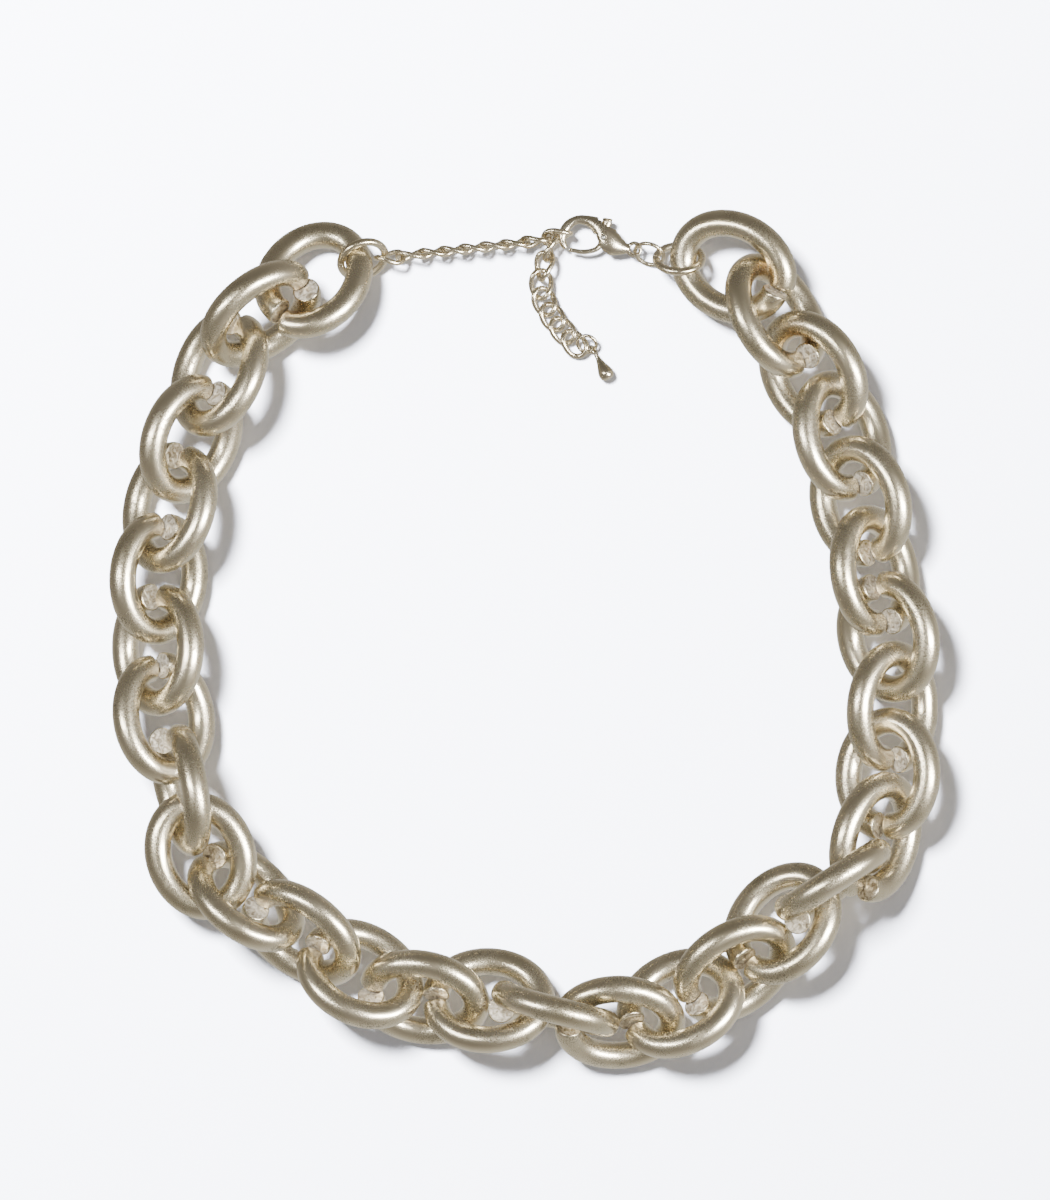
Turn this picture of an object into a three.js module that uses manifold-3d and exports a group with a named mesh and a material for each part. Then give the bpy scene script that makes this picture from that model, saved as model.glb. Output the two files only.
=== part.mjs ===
// A chunky chain necklace: thirty-one oval rings bent from thick round rod, closed by a lobster clasp
// that hooks into a short curb-link extender with a teardrop on its tail. It is modelled closed and
// lying on a table, with each ring leaning on its neighbours.
// Millimetres and degrees; +X to the wearer's left, +Y towards the clasp, +Z up off the table.
import * as THREE from "three";
import { mergeVertices } from "three/addons/utils/BufferGeometryUtils.js";
import Module from "manifold-3d";

const wasm = await Module();
wasm.setup();

// ---------------------------------------------------------------- driving dimensions

// A big ring of the chain: an oval bent from rod, wound like a coil spring and sawn through.
const ROD = 5.1; // rod diameter
const RING_LENGTH = 25.0; // over the outside
const RING_WIDTH = 20.8; // over the outside
const SAW_GAP = 0.5; // between the two sawn ends
const END_STEP = 3.1; // how far one sawn end stands above the other

// A link of the extender: a small oval of wire, twisted so that the chain lies flat.
const CURB_WIRE = 1.0;
const CURB_LENGTH = 6.3;
const CURB_WIDTH = 4.8;
const CURB_TWIST = 0.56; // how far its corners rise and fall

// The plain jump rings, each a wire diameter and an outside diameter.
const END_RING = { wire: 1.5, across: 10.2 };
const CLASP_RING = { wire: 0.8, across: 6.4 };
const DROP_RING = { wire: 0.7, across: 4.3 };
const WIRE_SLIT = 0.12; // the closed slit of every wire ring

// The lobster clasp. Lengths run from the middle of its eye.
const EYE_WIRE = 0.72;
const EYE_ACROSS = 3.1;
const HOOK_WIRE = 1.5;
const BODY_LEAN = 147; // direction of the body's long axis in the clasp's own plane
const BODY_FLATNESS = 0.8; // height of the body over its width
const SLOT_HEIGHT = 1.5;
const LEVER_HEIGHT = 1.1;
const LEVER_THICKNESS = 0.85;
const HUB_RADIUS = 0.95;
const LEVER_SWING = 16; // how far the gate opens
const PIN_RADIUS = 0.4;
const PIN_CLEARANCE = 0.12;
const PIN_LENGTH = 3.1;
const LEAF_WIRE = 0.3;

const DROP_LENGTH = 5.4;
const DROP_RADIUS = 1.45;
const DROP_EYE = 0.85; // radius of the teardrop's wire loop, to the middle of its wire
const DROP_WIRE = 0.55;
const DROP_SOCKET = 0.15; // how deep the loop's wire is sunk in the neck

const CLEARANCE = 0.12; // the least gap left between pieces that hang in each other

// How fine the facets are.
const ROD_SIDES = 8;
const ROD_STEPS = 20;
const WIRE_SIDES = 6;
const WIRE_STEPS = 14;
const HOOK_STEPS = 12;
const LEVER_STEPS = 18;
const LEAF_STEPS = 8;
const TURNED_SIDES = 12;
const DROP_LOOP_STEPS = 12;

// ---------------------------------------------------------------- how the necklace is laid down

// The big rings in order, from the extender's end round the front to the clasp's end. Each row gives
// the middle of the ring, the way the chain runs there, and how far the ring is rolled about that
// way: a plus raises its left side. Some rows go on with how far its far end is tipped up, and how
// far its neighbours hold it up off the table.
const RINGS_AS_LAID = [
  [-39.0, 69.0, 237, 12, 18],
  [-51.3, 61.5, 216, -46],
  [-57.4, 50.2, 250, 44],
  [-63.4, 37.5, 253, -38],
  [-67.4, 25.0, 260, 42],
  [-69.5, 11.3, 270, -35],
  [-69.2, -2.1, 270, 38],
  [-68.4, -15.1, 277, -35],
  [-64.3, -28.7, 284, 72],
  [-61.1, -40.9, 288, -12, 0, 3.3],
  [-51.7, -49.1, 314, -48],
  [-42.5, -54.9, 319, 48],
  [-30.8, -63.0, 335, -35],
  [-18.9, -67.9, 353, 42],
  [-6.4, -68.1, 360, -30],
  [6.0, -70.2, 349, 88],
  [17.7, -72.1, 354, 38],
  [29.2, -68.1, 386, -32],
  [40.6, -61.9, 394, 42],
  [48.7, -53.0, 410, -30],
  [58.3, -46.2, 398, 85],
  [65.7, -37.0, 428, 42],
  [68.5, -25.5, 448, -30],
  [69.6, -12.8, 450, 45],
  [68.9, 0.0, 460, -32],
  [65.7, 13.0, 460, 45],
  [63.4, 26.8, 467, -35],
  [59.8, 38.5, 465, 38],
  [54.2, 50.6, 480, -35],
  [47.4, 61.3, 479, 48],
  [39.4, 70.8, 515, -16, -12],
];
const SAWN_AT_FAR_END = [0, 24]; // the rings, counted from 0, that went on the other way round

const CLASP_PLACE = [20.8, 74.1, 2.5]; // the middle of the clasp's eye

// The extender's links: a taut run on edge, then the link that the clasp holds and the loose tail.
// A row gives the middle, the way the chain runs there, the roll, and how far the far end is tipped up.
const TAUT_RUN = { links: 8, from: [-25.2, 72.6, 4.6], to: [1.9, 75.6, 2.9] };
const TAIL_AS_LAID = [
  [[5.9, 76.3, 2.9], [12, 90, -6]],
  [[4.6, 74.3, 2.4], [266, 90]],
  [[3.5, 70.9, 1.9], [262, 50]],
  [[3.0, 67.5, 1.3], [270, 12]],
  [[3.8, 64.2, 1.2], [290, 0]],
  [[5.3, 61.3, 1.2], [302, 0]],
  [[7.2, 58.7, 1.2], [308, 0]],
  [[9.3, 56.5, 1.2], [316, -6]],
];

// ---------------------------------------------------------------- lines that the pieces are bent to

/** An oval turn of rod or wire in its own XY plane, open at -X by a gap, rising as rise(angle). */
class OpenOval extends THREE.Curve {
  constructor(length, width, rod, gap, rise = () => 0) {
    super();
    this.a = (length - rod) / 2;
    this.b = (width - rod) / 2;
    this.reach = Math.PI - gap / 2 / this.b;
    this.rise = rise;
  }

  getPoint(t, target = new THREE.Vector3()) {
    const angle = (2 * t - 1) * this.reach;
    return target.set(this.a * Math.cos(angle), this.b * Math.sin(angle), this.rise(angle));
  }
}

/** The line of a big ring; turn is 1 if the end on its left lies on top at the saw cut, or -1. */
function bigRingLine(turn) {
  const rise = (angle) => (turn * END_STEP * angle) / (2 * Math.PI);
  return new OpenOval(RING_LENGTH, RING_WIDTH, ROD, SAW_GAP, rise);
}

function curbLine() {
  const rise = (angle) => CURB_TWIST * Math.sin(2 * angle);
  return new OpenOval(CURB_LENGTH, CURB_WIDTH, CURB_WIRE, WIRE_SLIT, rise);
}

function jumpRingLine({ wire, across }) {
  return new OpenOval(across, across, wire, WIRE_SLIT);
}

const planar = (points) => points.map(([x, y]) => new THREE.Vector3(x, y, 0));

const HOOK_LINE = new THREE.CatmullRomCurve3(
  planar([
    [-6.6, 4.1],
    [-8.6, 5.5],
    [-10.9, 5.6],
    [-12.9, 4.2],
    [-13.8, 2.2],
    [-13.5, 0.9],
  ]),
);
const LEVER_LINE = new THREE.CatmullRomCurve3(
  planar([
    [-4.4, 5.7],
    [-5.2, 4.3],
    [-5.9, 2.3],
    [-6.3, 1.0],
    [-7.5, 0.1],
    [-9.8, -0.4],
    [-12.3, 0.1],
  ]),
);
const LEVER_PIVOT = new THREE.Vector3(-5.9, 2.2, 0);

// ---------------------------------------------------------------- solids

/** A round or square bar along a line, closed at both ends. */
function bentBar(line, outline, steps) {
  return new THREE.ExtrudeGeometry(new THREE.Shape(outline), {
    steps,
    bevelEnabled: false,
    extrudePath: line,
  });
}

function roundOutline(diameter, sides) {
  const corner = (_, i) => {
    const angle = (2 * Math.PI * (i + 0.5)) / sides;
    return new THREE.Vector2(Math.cos(angle), Math.sin(angle)).multiplyScalar(diameter / 2);
  };
  return Array.from({ length: sides }, corner);
}

const wireAlong = (line, wire, steps = WIRE_STEPS) => bentBar(line, roundOutline(wire, WIRE_SIDES), steps);

/** A closed geometry as a solid that can be joined and cut. */
function solid(geometry) {
  const corners = geometry.index ? geometry.toNonIndexed() : geometry;
  const bare = new THREE.BufferGeometry();
  bare.setAttribute("position", corners.getAttribute("position"));
  const merged = mergeVertices(bare, 1e-4);
  const mesh = new wasm.Mesh({
    numProp: 3,
    vertProperties: merged.getAttribute("position").array,
    triVerts: new Uint32Array(merged.index.array),
  });
  return new wasm.Manifold(mesh);
}

/** A joined or cut solid as a geometry again. */
function geometryOf(made) {
  const { vertProperties, triVerts } = made.getMesh();
  const geometry = new THREE.BufferGeometry();
  geometry.setAttribute("position", new THREE.BufferAttribute(vertProperties, 3));
  geometry.setIndex(new THREE.BufferAttribute(triVerts, 1));
  geometry.computeVertexNormals();
  return geometry;
}

/** A solid of revolution about Z from [radius, height] pairs that start and end on the axis. */
function turned(profile) {
  const points = profile.map(([radius, height]) => new THREE.Vector2(radius, height));
  return new THREE.LatheGeometry(points, TURNED_SIDES).rotateX(Math.PI / 2);
}

function upright(radius, length) {
  return new THREE.CylinderGeometry(radius, radius, length, TURNED_SIDES).rotateX(Math.PI / 2);
}

// ---------------------------------------------------------------- the lobster clasp

/** The cast body: eye, pear-shaped shell and hook, with a slot for the lever and a bore for its pin. */
function claspBody() {
  const eyeRing = new THREE.TorusGeometry((EYE_ACROSS - EYE_WIRE) / 2, EYE_WIRE / 2, WIRE_SIDES, WIRE_STEPS);
  const pear = turned([
    [0, 1.2],
    [0.75, 1.4],
    [1.2, 2.8],
    [1.75, 4.4],
    [2.0, 5.8],
    [1.75, 7.4],
    [1.1, 8.6],
    [0, 8.9],
  ]);
  pear.rotateY(Math.PI / 2);
  pear.scale(1, 1, BODY_FLATNESS);
  pear.rotateZ(THREE.MathUtils.degToRad(BODY_LEAN));
  const slot = new THREE.ExtrudeGeometry(
    new THREE.Shape(
      [
        [-2.9, 6.8],
        [-6.7, 6.4],
        [-7.1, 3.9],
        [-8.2, 1.2],
        [-7.4, -1.8],
        [-4.6, -1.8],
        [-3.0, 1.4],
      ].map(([x, y]) => new THREE.Vector2(x, y)),
    ),
    { depth: SLOT_HEIGHT, bevelEnabled: false },
  ).translate(0, 0, -SLOT_HEIGHT / 2);
  const bore = upright(PIN_RADIUS + PIN_CLEARANCE, 2 * PIN_LENGTH).translate(...LEVER_PIVOT);
  const hook = solid(wireAlong(HOOK_LINE, HOOK_WIRE, HOOK_STEPS));
  const body = solid(pear).subtract(solid(slot)).add(hook).add(solid(eyeRing));
  return geometryOf(body.subtract(solid(bore)));
}

/** The spring-loaded gate: thumb tab, hub round the pin, and the arm that closes the hook. */
function claspLever() {
  const halfThick = LEVER_THICKNESS / 2;
  const halfHigh = LEVER_HEIGHT / 2;
  const outline = [
    [-halfThick, -halfHigh],
    [halfThick, -halfHigh],
    [halfThick, halfHigh],
    [-halfThick, halfHigh],
  ].map(([x, y]) => new THREE.Vector2(x, y));
  const bar = solid(bentBar(LEVER_LINE, outline, LEVER_STEPS));
  const hub = solid(upright(HUB_RADIUS, LEVER_HEIGHT).translate(...LEVER_PIVOT));
  const bore = solid(upright(PIN_RADIUS + PIN_CLEARANCE, 2 * LEVER_HEIGHT).translate(...LEVER_PIVOT));
  return geometryOf(bar.add(hub).subtract(bore));
}

const claspPin = () => upright(PIN_RADIUS, PIN_LENGTH).translate(...LEVER_PIVOT);

/** The bent leaf spring behind the lever, inside the slot. */
function claspSpring() {
  const leaf = planar([
    [-4.75, 0.6],
    [-4.0, 0.7],
    [-3.45, 1.5],
    [-3.7, 2.4],
    [-4.5, 2.9],
  ]);
  return wireAlong(new THREE.CatmullRomCurve3(leaf), LEAF_WIRE, LEAF_STEPS);
}

/** The teardrop that ends the tail, hanging from the loop at its origin along -X. */
function teardrop() {
  const neck = DROP_EYE + DROP_WIRE / 2 - DROP_SOCKET;
  const pear = turned([
    [0, 0],
    [0.4, 0],
    [0.48, 0.8],
    [0.85, 2.0],
    [1.3, 3.2],
    [DROP_RADIUS, 4.1],
    [1.2, 4.9],
    [0.65, 5.3],
    [0, DROP_LENGTH],
  ]);
  pear.rotateY(Math.PI / 2).translate(neck, 0, 0);
  const loop = new THREE.TorusGeometry(DROP_EYE, DROP_WIRE / 2, WIRE_SIDES, DROP_LOOP_STEPS);
  return geometryOf(solid(pear).add(solid(loop)));
}

// ---------------------------------------------------------------- laying the pieces down

const DOT_SPACING = 0.35; // in wire diameters, between the dots that stand for a piece's line

/** A piece as it lies: the line and wire it is bent from, where its middle is and how it is turned. */
function laid(name, line, wire, [x, y, z], [heading, roll, pitch = 0], held = false) {
  const angles = [roll, -pitch, heading].map(THREE.MathUtils.degToRad);
  const facing = new THREE.Quaternion().setFromEuler(new THREE.Euler(...angles, "ZYX"));
  const dots = line.getSpacedPoints(Math.ceil(line.getLength() / wire / DOT_SPACING));
  const place = new THREE.Vector3(x, y, z);
  const reach = Math.max(...dots.map((dot) => dot.length()));
  const turning = (reach * reach) / 2;
  const asLaid = { place: place.clone(), facing: facing.clone() };
  return { name, line, wire, place, facing, dots, reach, turning, held, asLaid };
}

const worldDots = ({ dots, facing, place }) => dots.map((dot) => dot.clone().applyQuaternion(facing).add(place));

/** How readily a piece gives way to a push along `push` at `arm` from its middle. */
function give(piece, arm, push) {
  return piece.held ? 0 : 1 + arm.clone().cross(push).lengthSq() / piece.turning;
}

/** Moves and turns a piece as a push of `size` along `push` at `arm` from its middle would. */
function shove(piece, arm, push, size) {
  if (piece.held) {
    return;
  }
  const spin = arm.clone().cross(push).multiplyScalar(size / piece.turning);
  const angle = spin.length();
  piece.place.addScaledVector(push, size);
  if (angle > 0) {
    piece.facing.premultiply(new THREE.Quaternion().setFromAxisAngle(spin.normalize(), angle));
  }
}

/** Pushes two pieces apart where they come nearest, if they are nearer there than their rods allow. */
function part(one, other) {
  const apart = (one.wire + other.wire) / 2 + CLEARANCE;
  if (one.place.distanceTo(other.place) > one.reach + other.reach + apart) {
    return;
  }
  const others = worldDots(other);
  let nearest = { gap: apart };
  for (const dot of worldDots(one)) {
    for (const against of others) {
      const gap = dot.distanceTo(against);
      nearest = gap < nearest.gap ? { gap, dot, against } : nearest;
    }
  }
  if (!nearest.dot) {
    return;
  }
  const push = nearest.dot.clone().sub(nearest.against).normalize();
  const arms = [nearest.dot.clone().sub(one.place), nearest.against.clone().sub(other.place)];
  const size = (apart - nearest.gap) / (give(one, arms[0], push) + give(other, arms[1], push));
  shove(one, arms[0], push, size);
  shove(other, arms[1], push, -size);
}

/** Lifts a piece where it is lowest, if it is below the table there. */
function rest(piece) {
  const lowest = worldDots(piece).reduce((low, dot) => (dot.z < low.z ? dot : low));
  const depth = piece.wire / 2 - lowest.z;
  if (depth > 0) {
    const up = new THREE.Vector3(0, 0, 1);
    const arm = lowest.sub(piece.place);
    shove(piece, arm, up, depth / give(piece, arm, up));
  }
}

const SETTLING_ROUNDS = 260;
const PARTING_ROUNDS = 78; // further rounds in which pieces only part where they would meet
const FALL = 0.02; // how far a piece sinks in a round until something holds it up
const STIFFNESS = 0.06; // how much of the way back to where it was laid a piece goes in a round

/** Lets everything come to rest on the table and on its neighbours, without any two meeting. */
function settle(pieces) {
  for (let round = 0; round < SETTLING_ROUNDS + PARTING_ROUNDS; round += 1) {
    const falling = round < SETTLING_ROUNDS;
    for (const { place, facing, asLaid } of pieces.filter(({ held }) => falling && !held)) {
      const sunk = new THREE.Vector3(asLaid.place.x, asLaid.place.y, place.z - FALL / STIFFNESS);
      place.lerp(sunk, STIFFNESS);
      facing.slerp(asLaid.facing, STIFFNESS);
    }
    pieces.forEach((one, i) => pieces.slice(i + 1).forEach((other) => part(one, other)));
    pieces.filter(({ held }) => !held).forEach(rest);
  }
}

const twoDigits = (number) => String(number).padStart(2, "0");

/** How high a line's middle must be for its rod to rest on the table. */
function restingHeight({ dots, facing, wire }) {
  return wire / 2 - Math.min(...dots.map((dot) => dot.clone().applyQuaternion(facing).z));
}

function bigRings() {
  return RINGS_AS_LAID.map(([x, y, heading, roll, tip = 0, lift = 0], i) => {
    const facing = SAWN_AT_FAR_END.includes(i) ? [heading + 180, -roll, -tip] : [heading, roll, tip];
    const turn = facing[1] < 0 ? 1 : -1;
    const ring = laid(`chain_ring_${twoDigits(i + 1)}`, bigRingLine(turn), ROD, [x, y, 0], facing);
    ring.place.z = restingHeight(ring) + lift;
    return ring;
  });
}

function extenderLinks() {
  const { links, from, to } = TAUT_RUN;
  const heading = THREE.MathUtils.radToDeg(Math.atan2(to[1] - from[1], to[0] - from[0]));
  const run = Array.from({ length: links }, (_, i) => {
    const place = from.map((start, axis) => THREE.MathUtils.lerp(start, to[axis], i / (links - 1)));
    return { place, turn: [heading, 90] };
  });
  const tail = TAIL_AS_LAID.map(([place, turn]) => ({ place, turn }));
  return [...run, ...tail].map(({ place, turn }, i) =>
    laid(`extender_link_${twoDigits(i + 1)}`, curbLine(), CURB_WIRE, place, turn),
  );
}

/** A round jump ring lying at a place, turned as laid() turns it. */
function jumpRing(name, size, place, turn) {
  return laid(name, jumpRingLine(size), size.wire, place, turn);
}

/** The clasp's eye, hook and gate as lines that the pieces hung in them must keep clear of. */
function claspLines() {
  const eye = { wire: EYE_WIRE, across: EYE_ACROSS };
  const open = new THREE.Matrix4().makeTranslation(LEVER_PIVOT);
  open.multiply(new THREE.Matrix4().makeRotationZ(-THREE.MathUtils.degToRad(LEVER_SWING)));
  open.multiply(new THREE.Matrix4().makeTranslation(LEVER_PIVOT.clone().negate()));
  const openGate = LEVER_LINE.points.map((point) => point.clone().applyMatrix4(open));
  return [
    laid("eye", jumpRingLine(eye), EYE_WIRE, CLASP_PLACE, [0, 0], true),
    laid("hook", HOOK_LINE, HOOK_WIRE, CLASP_PLACE, [0, 0], true),
    laid("gate", LEVER_LINE, LEVER_HEIGHT, CLASP_PLACE, [0, 0], true),
    laid("open gate", new THREE.CatmullRomCurve3(openGate), LEVER_HEIGHT, CLASP_PLACE, [0, 0], true),
  ];
}

// ---------------------------------------------------------------- the necklace

const finishes = {
  satinRod: { color: 0xa89f8c, roughness: 0.42, metalness: 1 },
  brightWire: { color: 0xc4b99a, roughness: 0.3, metalness: 1 },
  castClasp: { color: 0xb3a78c, roughness: 0.34, metalness: 1 },
  steel: { color: 0x9a9a98, roughness: 0.3, metalness: 1 },
};

function node(name, geometry, finish) {
  const mesh = new THREE.Mesh(geometry, new THREE.MeshStandardMaterial(finishes[finish]));
  mesh.name = name;
  return mesh;
}

/** The mesh of a laid-down piece, standing where the piece came to rest. */
function restingNode(piece, geometry, finish) {
  const mesh = node(piece.name, geometry, finish);
  mesh.position.copy(piece.place);
  mesh.quaternion.copy(piece.facing);
  return mesh;
}

const rod = (piece) => bentBar(piece.line, roundOutline(ROD, ROD_SIDES), ROD_STEPS);
const wire = (piece) => wireAlong(piece.line, piece.wire);

const chain = bigRings();
const extender = extenderLinks();
const rings = [
  jumpRing("extender_jump_ring", END_RING, [-30.6, 72.0, 4.6], [0, 48]),
  jumpRing("clasp_large_ring", END_RING, [29.6, 72.1, 4.5], [0, -52]),
  jumpRing("clasp_small_ring", CLASP_RING, [23.5, 73.1, 2.7], [0, 44, 12]),
  jumpRing("drop_ring", DROP_RING, [12.0, 56.3, 1.3], [-40, 14]),
];
const dropEye = jumpRingLine({ wire: DROP_WIRE, across: 2 * DROP_EYE + DROP_WIRE });
const drop = laid("teardrop", dropEye, DROP_WIRE, [13.0, 54.8, 1.4], [-57, 86]);
settle([...chain, ...extender, ...rings, drop, ...claspLines()]);

const necklace = new THREE.Group();
chain.forEach((piece) => necklace.add(restingNode(piece, rod(piece), "satinRod")));
extender.forEach((piece) => necklace.add(restingNode(piece, wire(piece), "brightWire")));
rings.forEach((piece) => necklace.add(restingNode(piece, wire(piece), "brightWire")));
necklace.add(restingNode(drop, teardrop(), "castClasp"));

const clasp = new THREE.Group();
clasp.position.set(...CLASP_PLACE);
clasp.add(node("clasp_body", claspBody(), "castClasp"));
clasp.add(node("clasp_lever", claspLever(), "castClasp"));
clasp.add(node("clasp_pin", claspPin(), "steel"));
clasp.add(node("clasp_spring", claspSpring(), "steel"));
necklace.add(clasp);

// The origin is under the middle of the whole necklace, on the table.
necklace.updateMatrixWorld(true);
const box = new THREE.Box3().setFromObject(necklace, true);
const middle = box.getCenter(new THREE.Vector3());
necklace.children.forEach((child) => child.position.sub(new THREE.Vector3(middle.x, middle.y, box.min.z)));

export default necklace;
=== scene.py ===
"""A chunky chain necklace of champagne-silver plated rings, lying closed on a pale table."""

import math

import bmesh
import bpy
import numpy as np
from mathutils import Matrix, Vector


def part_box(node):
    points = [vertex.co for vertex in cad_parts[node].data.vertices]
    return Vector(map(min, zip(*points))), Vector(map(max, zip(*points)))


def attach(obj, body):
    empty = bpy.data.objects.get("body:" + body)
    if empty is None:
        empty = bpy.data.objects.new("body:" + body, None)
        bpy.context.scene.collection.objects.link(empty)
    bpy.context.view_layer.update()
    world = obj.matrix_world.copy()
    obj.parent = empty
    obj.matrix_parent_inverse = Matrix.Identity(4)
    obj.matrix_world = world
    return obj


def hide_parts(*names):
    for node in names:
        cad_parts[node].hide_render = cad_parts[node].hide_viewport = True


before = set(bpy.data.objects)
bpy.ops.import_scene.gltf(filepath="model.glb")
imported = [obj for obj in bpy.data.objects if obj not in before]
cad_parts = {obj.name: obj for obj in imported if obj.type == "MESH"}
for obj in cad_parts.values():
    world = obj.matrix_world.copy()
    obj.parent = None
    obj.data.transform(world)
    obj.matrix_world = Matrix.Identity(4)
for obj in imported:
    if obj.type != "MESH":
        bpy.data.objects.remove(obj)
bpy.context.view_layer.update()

MM = 0.001

# ---------------------------------------------------------------- sizes, in millimetres

ROD = 5.1  # rod that the big rings are bent from
RING = {"length": 25.0, "width": 20.8, "wire": ROD, "gap": 0.5, "step": 3.1}
CURB = {"length": 6.3, "width": 4.8, "wire": 1.0, "gap": 0.12, "twist": 0.56}
END_RING = {"length": 10.2, "width": 10.2, "wire": 1.5, "gap": 0.12}
CLASP_RING = {"length": 6.4, "width": 6.4, "wire": 0.8, "gap": 0.12}
DROP_RING = {"length": 4.3, "width": 4.3, "wire": 0.7, "gap": 0.12}

ROD_EDGE = 0.22  # how far the edge of a cut end is broken
THICK_WIRE_EDGE = 0.12
THIN_WIRE_EDGE = 0.08

# ---------------------------------------------------------------- colours and materials


def linear(hex_colour):
    """An sRGB hex colour as the linear RGBA that the shaders take."""
    parts = [int(hex_colour[i : i + 2], 16) / 255 for i in (1, 3, 5)]
    lit = [c / 12.92 if c <= 0.04045 else ((c + 0.055) / 1.055) ** 2.4 for c in parts]
    return (*lit, 1.0)


def add_node(tree, kind, links=None, **settings):
    """Adds a node: settings are its own options, links fill its sockets from values or other sockets."""
    made = tree.nodes.new(kind)
    for name, value in settings.items():
        setattr(made, name, value)
    for name, value in (links or {}).items():
        socket = made.inputs[name]
        if isinstance(value, bpy.types.NodeSocket):
            tree.links.new(value, socket)
        else:
            socket.default_value = value
    return made


def new_material(name):
    """An empty node material and its tree with a Principled shader wired to the output."""
    material = bpy.data.materials.new(name)
    material.use_nodes = True
    tree = material.node_tree
    tree.nodes.clear()
    shader = add_node(tree, "ShaderNodeBsdfPrincipled")
    add_node(tree, "ShaderNodeOutputMaterial", {"Surface": shader.outputs["BSDF"]})
    return material, tree, shader


def ramp(tree, fac, stops):
    """A colour ramp over fac with (position, hex colour) stops."""
    made = add_node(tree, "ShaderNodeValToRGB", {"Fac": fac})
    elements = made.color_ramp.elements
    while len(elements) < len(stops):
        elements.new(0.5)
    for element, (position, colour) in zip(elements, stops):
        element.position = position
        element.color = linear(colour)
    return made.outputs["Color"]


def mixed(tree, factor, one, other):
    """The colour that runs from one to the other as factor goes from 0 to 1."""
    made = add_node(tree, "ShaderNodeMix", {0: factor, 6: one, 7: other}, data_type="RGBA")
    return made.outputs[2]


def noise(tree, place, scale, detail=2.0, roughness=0.5, distortion=0.0):
    """A noise pattern over place, scale being its cells to the metre."""
    sockets = {"Vector": place, "Scale": scale, "Detail": detail, "Roughness": roughness}
    made = add_node(tree, "ShaderNodeTexNoise", {**sockets, "Distortion": distortion})
    return made.outputs["Fac"]


def stretched(tree, value, start, end, low=0.0, high=1.0):
    """The value, running from low to high while it goes from start to end."""
    sockets = {"Value": value, "From Min": start, "From Max": end, "To Min": low, "To Max": high}
    return add_node(tree, "ShaderNodeMapRange", sockets).outputs[0]


def times(tree, one, other, use_clamp=False):
    """One value times another."""
    made = add_node(tree, "ShaderNodeMath", {0: one, 1: other}, operation="MULTIPLY")
    made.use_clamp = use_clamp
    return made.outputs[0]


STAIN = "#A07C38"  # dried plating salts, a brownish gold
STAIN_HEART = 1.5 * MM  # full stain within this of a joint's middle
STAIN_REACH = 4.6 * MM  # and none past this
STAIN_DEPTH = 0.95
WORN_ROUGHNESS = 0.6  # of plate that handling has scuffed


def satin_plate(name, light, mid, worn, roughness, scuff, dent, stained_at=()):
    """Silver plate with a champagne tone over brass, tumbled to a satin.

    Tumbling leaves a fine orange-peel that widens each highlight, handling leaves small dark scuffs
    in patches where the plate is thin, and plating salts dry to a golden stain in a tight joint.
    """
    material, tree, shader = new_material(name)
    place = add_node(tree, "ShaderNodeTexCoord").outputs["Object"]
    # Grains about 0.3 mm across, gathered in patches some 4 mm wide.
    patches = noise(tree, place, 210.0)
    grains = noise(tree, place, 2900.0, roughness=0.6)
    spread = stretched(tree, patches, 0.47, 0.66)
    speck = stretched(tree, grains, 0.46, 0.62)
    both = times(tree, spread, speck)
    amount = times(tree, both, scuff, use_clamp=True)
    tone = noise(tree, place, 95.0)
    plate = ramp(tree, tone, [(0.35, mid), (0.65, light)])
    colour = mixed(tree, amount, plate, linear(worn))
    for middle in stained_at:
        sockets = {0: place, 1: Vector(middle) * MM}
        away = add_node(tree, "ShaderNodeVectorMath", sockets, operation="DISTANCE")
        near = stretched(tree, away.outputs["Value"], STAIN_REACH, STAIN_HEART, high=STAIN_DEPTH)
        ragged = noise(tree, place, 700.0, detail=3.0)
        colour = mixed(tree, times(tree, near, ragged), colour, linear(STAIN))
    tree.links.new(colour, shader.inputs["Base Color"])
    rough = stretched(tree, amount, 0.0, 1.0, roughness, WORN_ROUGHNESS)
    tree.links.new(rough, shader.inputs["Roughness"])
    # Orange-peel of the tumbled surface: a fine one 0.3 mm across on shallow dimples of 2 mm.
    peel = times(tree, noise(tree, place, 3200.0), 0.18)
    dimple = noise(tree, place, 420.0)
    total = add_node(tree, "ShaderNodeMath", {0: peel, 1: dimple}, operation="ADD")
    relief = {"Strength": dent, "Distance": 0.2 * MM, "Height": total.outputs[0]}
    bump = add_node(tree, "ShaderNodeBump", relief)
    tree.links.new(bump.outputs["Normal"], shader.inputs["Normal"])
    shader.inputs["Metallic"].default_value = 1.0
    return material


def cut_face():
    """The saw-cut end of the rod under bright plate.

    The blade leaves it frosted with fine lines, which scatter light widely, so that it looks paler
    than the rod from most sides.
    """
    material, tree, shader = new_material("bright plated saw cut")
    place = add_node(tree, "ShaderNodeTexCoord").outputs["Object"]
    lines = noise(tree, place, 900.0, detail=3.0, distortion=1.5)
    bump = add_node(tree, "ShaderNodeBump", {"Strength": 0.45, "Distance": 0.3 * MM, "Height": lines})
    tree.links.new(bump.outputs["Normal"], shader.inputs["Normal"])
    plate = ramp(tree, lines, [(0.34, "#7A6F5D"), (0.52, "#B4AA96"), (0.68, "#DED6C6")])
    tree.links.new(plate, shader.inputs["Base Color"])
    shader.inputs["Metallic"].default_value = 0.88
    shader.inputs["Roughness"].default_value = 0.35
    return material


# Joints of rings 1 and 2, 30 and 31, and 29 and 30, where the stains are, in millimetres.
STAINED_JOINTS = [(-44.6, 63.8, 9.0), (45.7, 68.0, 9.0), (51.6, 57.3, 9.0)]

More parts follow.
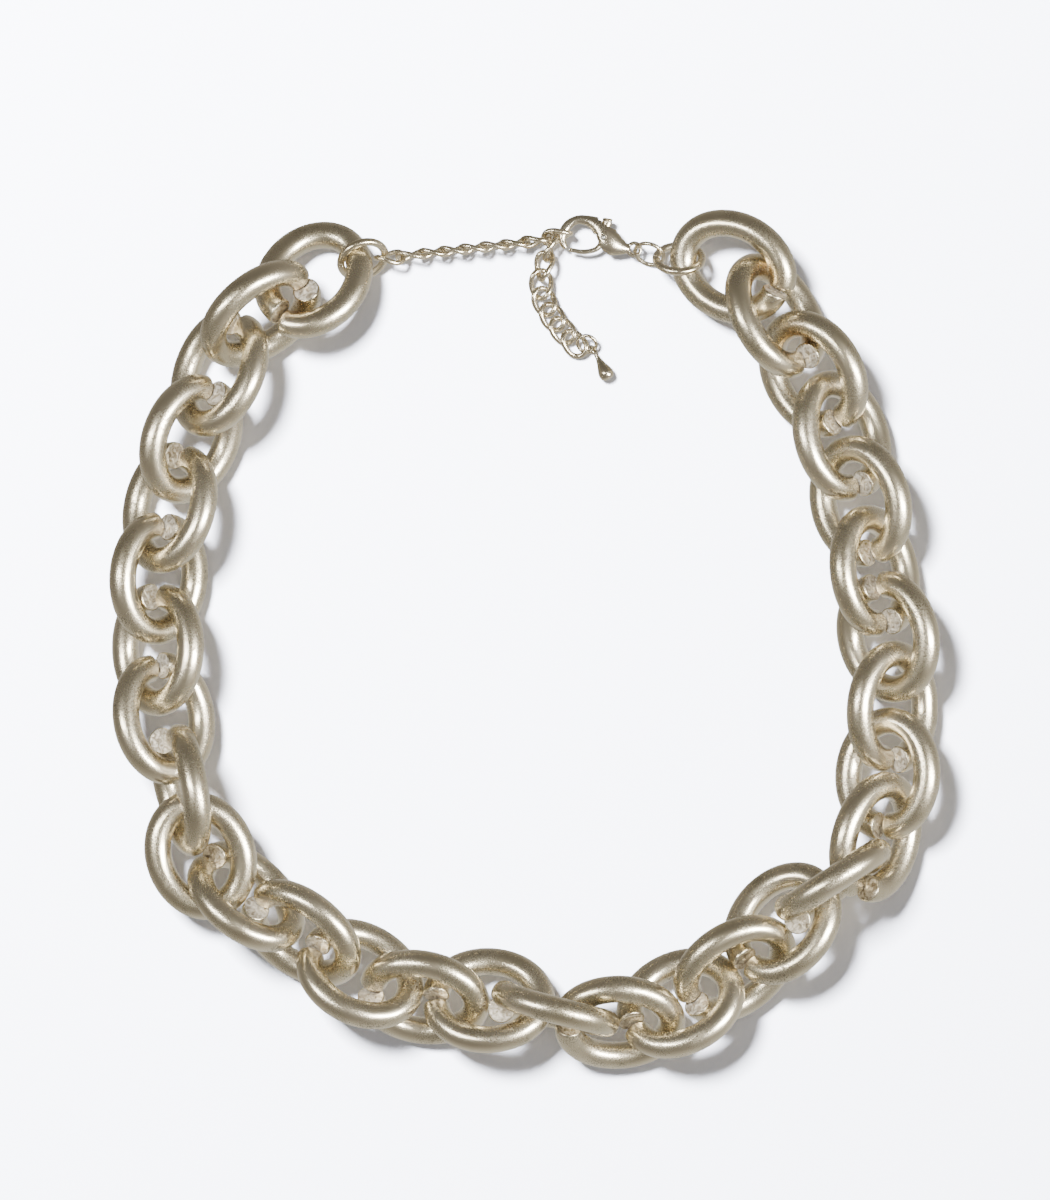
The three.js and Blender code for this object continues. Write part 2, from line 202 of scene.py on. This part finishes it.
# Heavy rod: soft wide highlights, with dark wear in patches.
ROD_PLATE = satin_plate(
    "satin champagne silver plate", "#D9D0BB", "#C6BDA6", "#443E33", 0.27, 0.75, 0.15, STAINED_JOINTS
)
# Drawn wire under thin plate: brighter and a little yellower.
WIRE_PLATE = satin_plate("bright champagne plated wire", "#DDD4BF", "#CCC1A8", "#6A5C44", 0.24, 0.5, 0.3)
# Castings keep a rippled skin that breaks up the highlights.
CAST_PLATE = satin_plate("champagne plated casting", "#D6CEBC", "#C4BBA6", "#5A4E3A", 0.24, 0.6, 0.35)
CUT_PLATE = cut_face()
# Bare steel, greyer than the plate round it.
STEEL = satin_plate("spring steel", "#C8C8C6", "#B4B4B2", "#55504A", 0.28, 0.4, 0.3)

# ---------------------------------------------------------------- finding how a node lies


def surface_frame(points, triangles):
    """Middle and principal axes (long, middle, short) of a closed surface, weighted by area."""
    corners = points[triangles]
    normals = np.cross(corners[:, 1] - corners[:, 0], corners[:, 2] - corners[:, 0])
    areas = np.linalg.norm(normals, axis=1) / 2
    centres = corners.mean(axis=1)
    middle = (centres * areas[:, None]).sum(axis=0) / areas.sum()
    offsets = centres - middle
    _, axes = np.linalg.eigh((offsets * areas[:, None]).T @ offsets)
    long_axis, mid_axis = axes[:, 2], axes[:, 1]
    return middle, np.stack([long_axis, mid_axis, np.cross(long_axis, mid_axis)])


def mesh_arrays(mesh):
    """A mesh's points and triangles as arrays."""
    mesh.calc_loop_triangles()
    points = np.empty(len(mesh.vertices) * 3)
    mesh.vertices.foreach_get("co", points)
    triangles = np.array([t.vertices for t in mesh.loop_triangles])
    return points.reshape(-1, 3), triangles


SAMPLE = 160  # about how many of a node's points are compared


def lie_of(node, points, triangles):
    """How far a piece misses its CAD node on average, and the matrix that lays it where that lies."""
    there, faces = mesh_arrays(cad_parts[node].data)
    middle, axes = surface_frame(there, faces)
    own_middle, own_axes = surface_frame(points, triangles)
    best = None
    for a, b in ((1, 1), (1, -1), (-1, 1), (-1, -1)):
        flipped = np.stack([axes[0] * a, axes[1] * b, axes[2] * a * b])
        turn = flipped.T @ own_axes
        laid = (points - own_middle) @ turn.T + middle
        sample = there[:: max(1, len(there) // SAMPLE)]
        miss = np.linalg.norm(sample[:, None] - laid[None], axis=2).min(axis=1).mean()
        if best is None or miss < best[0]:
            best = (miss, turn, middle - turn @ own_middle)
    miss, turn, shift = best
    matrix = Matrix.Identity(4)
    for row in range(3):
        for column in range(3):
            matrix[row][column] = turn[row][column]
        matrix[row][3] = shift[row]
    return miss, matrix


# ---------------------------------------------------------------- bent rod and wire


def oval_line(size, turn=1, count=96):
    """Points along one turn of rod or wire, open at -X, in metres."""
    a = (size["length"] - size["wire"]) / 2
    b = (size["width"] - size["wire"]) / 2
    reach = math.pi - size["gap"] / 2 / b
    points = []
    for i in range(count + 1):
        angle = (2 * i / count - 1) * reach
        climb = turn * size.get("step", 0) * angle / (2 * math.pi)
        wave = size.get("twist", 0) * math.sin(2 * angle)
        points.append(Vector((a * math.cos(angle), b * math.sin(angle), climb + wave)) * MM)
    return points


def bent_rod(points, radius, sides, edge, cut_slot=None):
    """A closed bmesh of round rod along points, its two cut ends with softly broken edges."""
    made = bmesh.new()
    count = len(points)
    tangents = [
        (points[min(i + 1, count - 1)] - points[max(i - 1, 0)]).normalized() for i in range(count)
    ]
    side = tangents[0].cross(Vector((0, 0, 1))).normalized()
    edge_steps = [0.0, 0.35, 0.75]
    clear_of_edge = edge * 1.2
    rings = []

    def add_ring(at, along, across, size):
        up = along.cross(across).normalized()
        ring = []
        for k in range(sides):
            angle = 2 * math.pi * k / sides
            out = across * math.cos(angle) + up * math.sin(angle)
            ring.append(made.verts.new(at + out * size))
        rings.append(ring)

    frames = []
    for i in range(count):
        side = (side - tangents[i] * side.dot(tangents[i])).normalized()
        frames.append((points[i], tangents[i], side.copy()))

    def add_edge_ring(end, inwards, share):
        at, along, across = end
        drop = edge * (1 - math.sin(share * math.pi / 2))
        back = edge * (1 - math.cos(share * math.pi / 2))
        add_ring(at + along * inwards * back, along, across, radius - drop)

    start, end = frames[0], frames[-1]
    for share in edge_steps:
        add_edge_ring(start, 1, share)
    for at, along, across in frames:
        if min((at - start[0]).length, (at - end[0]).length) > clear_of_edge:
            add_ring(at, along, across, radius)
    for share in reversed(edge_steps):
        add_edge_ring(end, -1, share)
    for one, two in zip(rings, rings[1:]):
        for k in range(sides):
            face = made.faces.new((one[k], one[(k + 1) % sides], two[(k + 1) % sides], two[k]))
            face.smooth = True
    for ring in (list(reversed(rings[0])), rings[-1]):
        face = made.faces.new(ring)
        face.material_index = 0 if cut_slot is None else cut_slot
    bmesh.ops.recalc_face_normals(made, faces=made.faces)
    return made


def piece_of(name, made, materials):
    """A Blender object from a bmesh."""
    mesh = bpy.data.meshes.new(name)
    made.to_mesh(mesh)
    made.free()
    for material in materials:
        mesh.materials.append(material)
    piece = bpy.data.objects.new(name, mesh)
    bpy.context.collection.objects.link(piece)
    return piece


def lay(piece, node, matrix, body=None):
    """Puts a finished piece where its CAD node lies, and lets it stand for the node."""
    piece.data.transform(matrix)
    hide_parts(node)
    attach(piece, body or node)
    return piece


def bent_piece(node, name, size, materials, sides=28, count=96, edge=ROD_EDGE):
    """A ring of rod or wire laid where its node lies, wound whichever way fits the node better."""
    best = None
    for turn in (1, -1) if size.get("step") else (1,):
        line = oval_line(size, turn, count)
        made = bent_rod(line, size["wire"] / 2 * MM, sides, edge * MM, len(materials) - 1)
        mesh = bpy.data.meshes.new(name)
        made.to_mesh(mesh)
        points, triangles = mesh_arrays(mesh)
        miss, matrix = lie_of(node, points, triangles)
        bpy.data.meshes.remove(mesh)
        if best is None or miss < best[0]:
            if best:
                best[2].free()
            best = (miss, matrix, made)
        else:
            made.free()
    _, matrix, made = best
    return lay(piece_of(name, made, materials), node, matrix)


def wire_piece(node, name, size, sides, count, edge):
    """A ring or link of plated wire."""
    return bent_piece(node, name, size, [WIRE_PLATE], sides, count, edge)


rod_and_cut = [ROD_PLATE, CUT_PLATE]
for i in range(1, 32):
    bent_piece(f"chain_ring_{i:02d}", f"oval_ring_{i:02d}", RING, rod_and_cut)
for i in range(1, 17):
    wire_piece(f"extender_link_{i:02d}", f"curb_link_{i:02d}", CURB, 14, 64, THIN_WIRE_EDGE)
wire_piece("extender_jump_ring", "jump_ring_extender_end", END_RING, 20, 72, THICK_WIRE_EDGE)
wire_piece("clasp_large_ring", "jump_ring_clasp_end", END_RING, 20, 72, THICK_WIRE_EDGE)
wire_piece("clasp_small_ring", "jump_ring_clasp", CLASP_RING, 16, 64, THIN_WIRE_EDGE)
wire_piece("drop_ring", "jump_ring_teardrop", DROP_RING, 16, 56, THIN_WIRE_EDGE)

# ---------------------------------------------------------------- cast pieces


def eased(rows, count):
    """Rows of numbers eased into count rows along a smooth line through them."""
    rows = np.array(rows, float)
    padded = np.vstack([2 * rows[0] - rows[1], rows, 2 * rows[-1] - rows[-2]])
    made = []
    for t in np.linspace(0, len(rows) - 1, count):
        i = min(int(t), len(rows) - 2)
        f = t - i
        a, b, c, d = padded[i : i + 4]
        square = (2 * a - 5 * b + 4 * c - d) * f**2
        cube = (3 * b - a - 3 * c + d) * f**3
        made.append((2 * b + (c - a) * f + square + cube) / 2)
    return np.array(made)


def skinned(made, loops, closed=False):
    """Adds a skin over loops of points in millimetres: closed end to end, or capped."""
    rings = [[made.verts.new(Vector(point) * MM) for point in loop] for loop in loops]
    pairs = list(zip(rings, rings[1:] + rings[:1])) if closed else list(zip(rings, rings[1:]))
    for one, two in pairs:
        for k in range(len(one)):
            after = (k + 1) % len(one)
            made.faces.new((one[k], one[after], two[after], two[k]))
    if not closed:
        made.faces.new(list(reversed(rings[0])))
        made.faces.new(rings[-1])


def lofted(made, rows, count, sides=28):
    """An oval-sectioned solid in the XY plane from rows of (edge x, y, other edge x, y, half height)."""
    loops = []
    for x1, y1, x2, y2, high in eased(rows, count):
        loop = []
        for k in range(sides):
            angle = 2 * math.pi * k / sides
            share = math.cos(angle)
            x = (x1 + x2) / 2 + share * (x1 - x2) / 2
            y = (y1 + y2) / 2 + share * (y1 - y2) / 2
            loop.append((x, y, high * math.sin(angle)))
        loops.append(loop)
    skinned(made, loops)


def edges_of(line, thick, high):
    """Rows for lofted(): a bar of the given thicknesses and heights along a line."""
    points = np.array(line, float)
    along = np.gradient(points, axis=0)
    normal = np.stack([-along[:, 1], along[:, 0]], axis=1)
    normal /= np.linalg.norm(normal, axis=1)[:, None]
    half = np.array(thick, float)[:, None] / 2
    return np.hstack([points + normal * half, points - normal * half, np.array(high, float)[:, None] / 2])


def wire_ring(made, radius, wire, sides=20, steps=56):
    """A closed ring of round wire in the XY plane."""
    loops = []
    for i in range(steps):
        around = 2 * math.pi * i / steps
        loop = []
        for k in range(sides):
            angle = 2 * math.pi * k / sides
            reach = radius + wire / 2 * math.cos(angle)
            loop.append((reach * math.cos(around), reach * math.sin(around), wire / 2 * math.sin(angle)))
        loops.append(loop)
    skinned(made, loops, closed=True)


def turned(made, profile, middle, sides=32):
    """A solid of revolution about an upright axis from rows of (radius, height)."""
    loops = []
    x, y = middle
    angles = [2 * math.pi * k / sides for k in range(sides)]
    for radius, height in profile:
        loops.append([(x + radius * math.cos(a), y + radius * math.sin(a), height) for a in angles])
    skinned(made, loops)


def smoothed(mesh):
    """Shades every face of a mesh as part of one smooth skin."""
    mesh.polygons.foreach_set("use_smooth", [True] * len(mesh.polygons))


def prism(made, outline, low, high):
    """A flat-topped solid over an outline."""
    skinned(made, [[(x, y, z) for x, y in outline] for z in (low, high)])


def cast(name, material, solid, cuts, grain):
    """Fuses a solid, takes the cuts out of it, and rounds every corner as tumbling would."""
    bmesh.ops.recalc_face_normals(solid, faces=solid.faces)
    rough = piece_of(name + "_rough", solid, [])
    helpers = [rough]
    fuse = rough.modifiers.new("fuse", "REMESH")
    fuse.mode = "VOXEL"
    fuse.voxel_size = grain * MM
    for i, cut in enumerate(cuts):
        bmesh.ops.recalc_face_normals(cut, faces=cut.faces)
        cutter = piece_of(f"{name}_cut_{i}", cut, [])
        helpers.append(cutter)
        carve = rough.modifiers.new(f"carve_{i}", "BOOLEAN")
        carve.operation = "DIFFERENCE"
        carve.solver = "EXACT"
        carve.object = cutter
    again = rough.modifiers.new("round", "REMESH")
    again.mode = "VOXEL"
    again.voxel_size = grain * MM
    polish = rough.modifiers.new("polish", "SMOOTH")
    polish.factor = 0.5
    polish.iterations = 5
    graph = bpy.context.evaluated_depsgraph_get()
    mesh = bpy.data.meshes.new_from_object(rough.evaluated_get(graph))
    mesh.name = name
    for helper in helpers:
        bpy.data.objects.remove(helper)
    smoothed(mesh)
    mesh.materials.clear()
    mesh.materials.append(material)
    piece = bpy.data.objects.new(name, mesh)
    bpy.context.collection.objects.link(piece)
    return piece


# Sizes of the clasp, in millimetres; its own plane has its origin in the middle of the eye.
LEVER_PIVOT = (-5.9, 2.2)
EYE_RADIUS = 1.19  # to the middle of its wire
EYE_WIRE = 0.74
SLOT_HALF = 0.75  # half the height of the slot that the gate turns in
NOTCH_HALF = 2.2  # the thumb notch goes right through
PIN_RADIUS = 0.4
BORE_RADIUS = 0.47
HUB_RADIUS = 0.95
HUB_HALF = 0.55
CASTING_GRAIN = 0.09  # how fine the shell is fused
FINE_GRAIN = 0.07  # and the gate and the drop
# Rows of the shell and hook from the eye round to the tip: one edge, the other, and half the height.
CLASP_SHELL = [
    (-0.9, 0.65, -1.0, -0.65, 0.55),
    (-2.2, 2.0, -2.6, -1.05, 0.95),
    (-3.4, 3.6, -4.7, -1.15, 1.4),
    (-4.6, 4.9, -6.5, -0.3, 1.5),
    (-6.3, 5.9, -7.5, 2.4, 1.25),
    (-8.4, 6.4, -8.7, 4.2, 0.95),
    (-10.9, 6.45, -10.6, 4.75, 0.8),
    (-13.1, 5.35, -12.0, 3.85, 0.78),
    (-14.4, 3.3, -12.85, 2.4, 0.78),
    (-14.4, 1.8, -12.95, 1.8, 0.7),
    (-13.95, 0.6, -12.85, 1.15, 0.62),
    (-13.3, -0.15, -12.7, 0.5, 0.45),
]
LEVER_SLOT = [
    (-4.0, 6.8),
    (-6.7, 6.4),
    (-7.1, 3.9),
    (-8.2, 1.2),
    (-7.4, -1.8),
    (-5.2, -1.8),
    (-5.0, 0.2),
    (-3.2, 0.5),
    (-3.2, 2.4),
    (-4.2, 3.4),
]
THUMB_NOTCH = [(-6.15, 7.5), (-6.1, 5.2), (-5.6, 4.5), (-4.6, 4.1), (-3.6, 3.7), (-2.0, 4.5), (-2.0, 7.5)]
# The gate's middle line from the thumb tab down to its end, its thickness and its height there.
LEVER_LINE = [
    (-5.05, 5.85),
    (-5.2, 4.9),
    (-5.9, 2.3),
    (-6.4, 0.9),
    (-7.5, -0.1),
    (-9.8, -0.5),
    (-12.35, -0.05),
]
LEVER_THICK = [1.9, 1.8, 1.4, 1.2, 1.0, 0.98, 0.8]
LEVER_HIGH = [2.3, 1.4, 1.1, 1.15, 1.15, 1.15, 0.95]

pin_low, pin_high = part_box("clasp_pin")
eye_middle = (pin_low + pin_high) / 2 - Vector((*LEVER_PIVOT, 0)) * MM
on_clasp = Matrix.Translation(eye_middle)


def clasp_body():
    """The cast shell and hook with its eye, slotted for the lever and bored for the pin."""
    shell = bmesh.new()
    lofted(shell, CLASP_SHELL, 70)
    wire_ring(shell, EYE_RADIUS, EYE_WIRE)
    slot = bmesh.new()
    prism(slot, LEVER_SLOT, -SLOT_HALF, SLOT_HALF)
    notch = bmesh.new()
    prism(notch, THUMB_NOTCH, -NOTCH_HALF, NOTCH_HALF)
    bore = bmesh.new()
    turned(bore, [(BORE_RADIUS, -2.4), (BORE_RADIUS, 2.4)], LEVER_PIVOT)
    return cast("clasp_shell_and_hook", CAST_PLATE, shell, [slot, notch, bore], CASTING_GRAIN)


def clasp_lever():
    """The gate with its hub and a ridged thumb tab."""
    bar = bmesh.new()
    lofted(bar, edges_of(LEVER_LINE, LEVER_THICK, LEVER_HIGH), 60, 24)
    turned(bar, [(HUB_RADIUS, -HUB_HALF), (HUB_RADIUS, HUB_HALF)], LEVER_PIVOT)
    grooves = []
    for x in (-5.35, -4.85):
        groove = bmesh.new()
        prism(groove, [(x, 4.9), (x + 0.22, 4.9), (x + 0.32, 6.4), (x + 0.1, 6.4)], 0.6, 1.6)
        grooves.append(groove)
    bore = bmesh.new()
    turned(bore, [(BORE_RADIUS, -1.4), (BORE_RADIUS, 1.4)], LEVER_PIVOT)
    return cast("clasp_gate_and_tab", CAST_PLATE, bar, [*grooves, bore], FINE_GRAIN)


def clasp_pin():
    """The rivet, its ends peened to low domes."""
    pin = bmesh.new()
    shank = [(PIN_RADIUS, 0.0), (PIN_RADIUS, 1.25)]
    half = shank + [(0.44, 1.42), (0.36, 1.56), (0.2, 1.63), (0.03, 1.65)]
    turned(pin, [(radius, -z) for radius, z in reversed(half)] + half[1:], LEVER_PIVOT)
    piece = piece_of("clasp_rivet", pin, [STEEL])
    smoothed(piece.data)
    return piece


def clasp_spring():
    """The bent leaf behind the lever."""
    line = [(-4.75, 0.6), (-4.0, 0.7), (-3.45, 1.5), (-3.7, 2.4), (-4.5, 2.9)]
    leaf = bmesh.new()
    lofted(leaf, edges_of(line, [0.2] * 5, [0.7] * 5), 30, 12)
    bmesh.ops.recalc_face_normals(leaf, faces=leaf.faces)
    return piece_of("clasp_leaf_spring", leaf, [STEEL])


# The teardrop, in millimetres: its profile from the neck down, and its wire loop.
DROP_NECK = 0.975  # from the middle of the loop
DROP_EYE = 0.85
DROP_WIRE = 0.55
DROP_PROFILE = [
    (0.42, 0),
    (0.45, 0.8),
    (0.8, 2.0),
    (1.25, 3.2),
    (1.45, 4.1),
    (1.2, 4.95),
    (0.65, 5.3),
    (0.05, 5.4),
]


def teardrop():
    """The cast drop, tapering to a neck that grips its wire loop."""
    drop = bmesh.new()
    turned(drop, eased(DROP_PROFILE, 40), (0, 0))
    lying = Matrix.Rotation(math.pi / 2, 4, "Y")
    drop.transform(Matrix.Translation((DROP_NECK * MM, 0, 0)) @ lying)
    wire_ring(drop, DROP_EYE, DROP_WIRE)
    return cast("teardrop_and_loop", CAST_PLATE, drop, [], FINE_GRAIN)


lay(clasp_body(), "clasp_body", on_clasp, "clasp")
lay(clasp_lever(), "clasp_lever", on_clasp)
lay(clasp_pin(), "clasp_pin", on_clasp, "clasp")
lay(clasp_spring(), "clasp_spring", on_clasp, "clasp")
drop_piece = teardrop()
_, drop_matrix = lie_of("teardrop", *mesh_arrays(drop_piece.data))
lay(drop_piece, "teardrop", drop_matrix)

# ---------------------------------------------------------------- table, lights and camera


def table_top():
    """A plain matt off-white table."""
    material, _, shader = new_material("matt white table")
    shader.inputs["Base Color"].default_value = linear("#F1F1F5")
    shader.inputs["Roughness"].default_value = 0.7
    shader.inputs["Specular IOR Level"].default_value = 0.2
    made = bmesh.new()
    bmesh.ops.create_grid(made, x_segments=1, y_segments=1, size=1.2)
    floor = piece_of("table", made, [material])
    # A choice of look: the rods mirror the dim room instead of the lit table.
    floor.visible_glossy = False
    return floor


def soft_light(name, place, size, power, colour):
    """A rectangular light that faces the middle of the necklace; size is its width and height."""
    data = bpy.data.lights.new(name, "AREA")
    data.shape = "RECTANGLE"
    data.size, data.size_y = size
    data.energy = power
    data.color = linear(colour)[:3]
    lamp = bpy.data.objects.new(name, data)
    lamp.location = place
    lamp.rotation_euler = (-Vector(place)).to_track_quat("-Z", "Y").to_euler()
    bpy.context.collection.objects.link(lamp)
    return lamp


table_top()
# A window high on the left gives the table its light and the shadows.
window = soft_light("window", (-0.36, 0.38, 0.88), (0.22, 0.22), 126.0, "#F1F5FF")
window.visible_glossy = False
ceiling = soft_light("ceiling", (0.0, 0.0, 1.3), (1.2, 1.2), 2.4, "#A9C2FF")
ceiling.visible_glossy = False
# Two tall lamp boxes, right and left of the camera, are what the rods mirror as bright bands.
right_box = soft_light("right lamp box", (0.6, -0.1, 0.72), (0.2, 0.5), 26.0, "#FFFCF5")
left_box = soft_light("left lamp box", (-0.5, 0.04, 0.8), (0.09, 0.5), 7.0, "#FFFCF5")
for box in (right_box, left_box):
    box.data.use_shadow = False
    box.visible_diffuse = False


def room():
    """The room round the table, dim overhead and on the left, paler down on the right."""
    world = bpy.data.worlds.new("room")
    world.use_nodes = True
    tree = world.node_tree
    tree.nodes.clear()
    way = add_node(tree, "ShaderNodeTexCoord").outputs["Generated"]
    towards_pale = {0: way, 1: (0.35, -0.45, -0.8)}
    pale = add_node(tree, "ShaderNodeVectorMath", towards_pale, operation="DOT_PRODUCT")
    share = stretched(tree, pale.outputs["Value"], -1.0, 1.0)
    tones = [(0.0, "#6C6860"), (0.42, "#8A857B"), (0.62, "#B0AA9F"), (0.8, "#D6D2C8"), (1.0, "#EFEDE6")]
    tone = ramp(tree, share, tones)
    background = add_node(tree, "ShaderNodeBackground", {"Color": tone, "Strength": 1.2})
    add_node(tree, "ShaderNodeOutputWorld", {"Surface": background.outputs["Background"]})
    return world


bpy.context.scene.world = room()

# The necklace is seen from straight above, in metres.
CAMERA_PLACE = (0.0, 0.0075, 0.9)
CHAIN_LEVEL = 0.008  # about the middle height of the chain
FRAME_WIDTH = 0.1981  # how wide a stretch the view takes in at that level
SENSOR_WIDTH = 36.0
camera_data = bpy.data.cameras.new("camera")
camera_data.sensor_fit = "HORIZONTAL"
camera_data.sensor_width = SENSOR_WIDTH
camera_data.lens = SENSOR_WIDTH * (CAMERA_PLACE[2] - CHAIN_LEVEL) / FRAME_WIDTH
camera = bpy.data.objects.new("camera", camera_data)
camera.location = CAMERA_PLACE
bpy.context.collection.objects.link(camera)
bpy.context.scene.camera = camera
